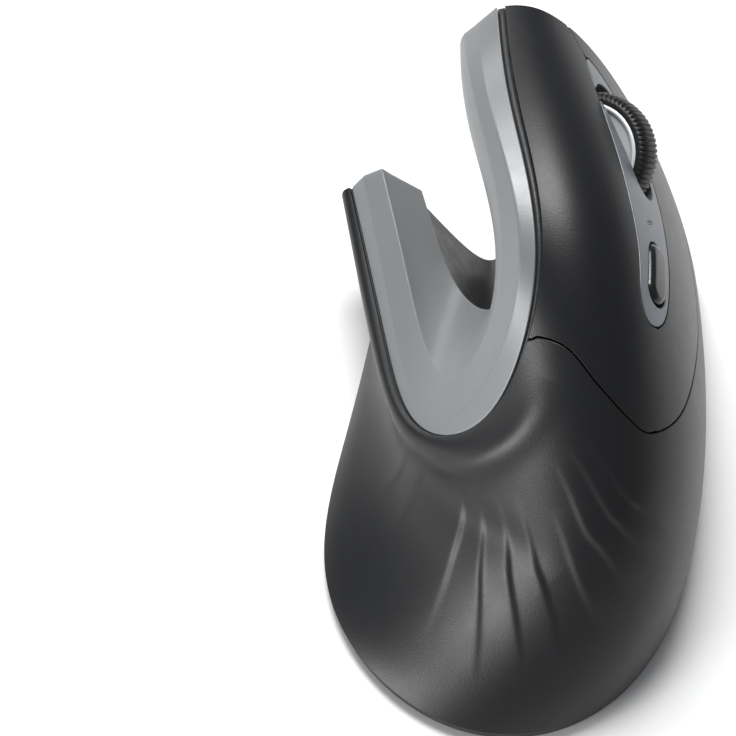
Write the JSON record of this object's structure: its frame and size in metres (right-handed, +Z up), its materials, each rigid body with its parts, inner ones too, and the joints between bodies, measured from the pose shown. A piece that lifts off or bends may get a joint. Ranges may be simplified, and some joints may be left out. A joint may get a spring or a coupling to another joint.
{
  "type": "vertical computer mouse",
  "caption": "Right-handed vertical wireless mouse with a thumb hollow edged by a grey U-shaped band, finger keys, scroll wheel and flared pleated base.",
  "frame": {"origin": "on the ground under the middle of the mouse's bounding box", "axes": "+Z up, +Y the way the fingers point, +X towards the palm side"},
  "size_m": [0.075, 0.119, 0.0761],
  "materials": {
    "shell_black": "satin",
    "key_black": "satin",
    "trim_grey": "satin",
    "strip_grey": "satin",
    "lining_dark": "matte",
    "wheel_rubber": "matte",
    "wheel_silver": "satin",
    "button_black": "gloss",
    "light_dash": "gloss",
    "base_black": "matte",
    "foot_grey": "satin",
    "board_green": "satin",
    "chip_black": "matte",
    "steel": "brushed",
    "cell_jacket": "gloss",
    "lens_clear": "gloss",
    "led_clear": "gloss",
    "frame_black": "matte"
  },
  "bodies": {
    "housing": {"back_shell": "shell_black", "centre_strip": "strip_grey", "indicator_light": "light_dash", "thumb_trim": "trim_grey", "thumb_panel": "lining_dark", "front_cover": "base_black", "wing_cover": "base_black", "base_plate": "base_black", "front_foot": "foot_grey", "rear_foot": "foot_grey", "left_foot": "foot_grey", "right_foot": "foot_grey", "sensor_ring": "foot_grey", "main_board": "board_green", "optical_sensor": "chip_black", "sensor_lens": "lens_clear", "radio_can": "steel", "slide_switch": "steel", "sensor_led": "led_clear", "battery": "cell_jacket", "plus_contact": "steel", "minus_contact": "steel", "leaf_contact": "steel", "base_screws": "steel", "board_screws": "steel", "inner_frame": "frame_black", "button_board": "board_green", "left_switch": "chip_black", "right_switch": "chip_black", "dpi_switch": "chip_black", "wheel_switch": "chip_black", "scroll_encoder": "chip_black", "thumb_board": "board_green", "back_switch": "chip_black", "forward_switch": "chip_black"},
    "left_key": {"left_button": "key_black"},
    "right_key": {"right_button": "key_black"},
    "wheel_mount": {"wheel_carrier": "frame_black"},
    "wheel": {"wheel_tyre": "wheel_rubber", "wheel_hub": "wheel_silver"},
    "dpi_key": {"dpi_button": "button_black"},
    "forward_key": {"forward_button": "button_black"},
    "back_key": {"back_button": "button_black"},
    "power_knob": {"power_switch": "foot_grey"},
    "door": {"battery_door": "base_black"},
    "receiver": {"receiver_cap": "base_black", "receiver_plug": "steel"}
  },
  "joints": [
    {"name": "left_click", "type": "hinge", "parent": "housing", "child": "left_key", "pos_m": [0.01549, -0.00718, 0.06435], "axis": [-0.6539, -0.2184, 0.7244], "range_deg": [0, 0.6], "stiffness_Nm_per_rad": 3},
    {"name": "right_click", "type": "hinge", "parent": "housing", "child": "right_key", "pos_m": [0.02584, -0.00716, 0.04675], "axis": [-0.4742, -0.1953, 0.8585], "range_deg": [0, 0.6], "stiffness_Nm_per_rad": 3},
    {"name": "wheel_press", "type": "slide", "parent": "housing", "child": "wheel_mount", "axis": [-0.8304, -0.1151, -0.5452], "range_m": [0, 0.0005], "stiffness_N_per_m": 2400},
    {"name": "wheel_spin", "type": "hinge", "parent": "wheel_mount", "child": "wheel", "pos_m": [0.01358, 0.03422, 0.05816], "axis": [0.4639, 0.3993, -0.7908], "continuous": true},
    {"name": "dpi_press", "type": "slide", "parent": "housing", "child": "dpi_key", "axis": [-0.8304, -0.1151, -0.5452], "range_m": [0, 0.0006], "stiffness_N_per_m": 1500},
    {"name": "forward_press", "type": "slide", "parent": "housing", "child": "forward_key", "axis": [1, 0, 0], "range_m": [0, 0.0006], "stiffness_N_per_m": 1500},
    {"name": "back_press", "type": "slide", "parent": "housing", "child": "back_key", "axis": [1, 0, 0], "range_m": [0, 0.0006], "stiffness_N_per_m": 1500},
    {"name": "power_slide", "type": "slide", "parent": "housing", "child": "power_knob", "axis": [0, 1, 0], "range_m": [0, 0.003]},
    {"name": "door_release", "type": "slide", "parent": "housing", "child": "door", "axis": [0, 0, -1], "range_m": [0, 0.012]},
    {"name": "receiver_pull", "type": "slide", "parent": "housing", "child": "receiver", "axis": [0, 0, -1], "range_m": [0, 0.022]}
  ]
}
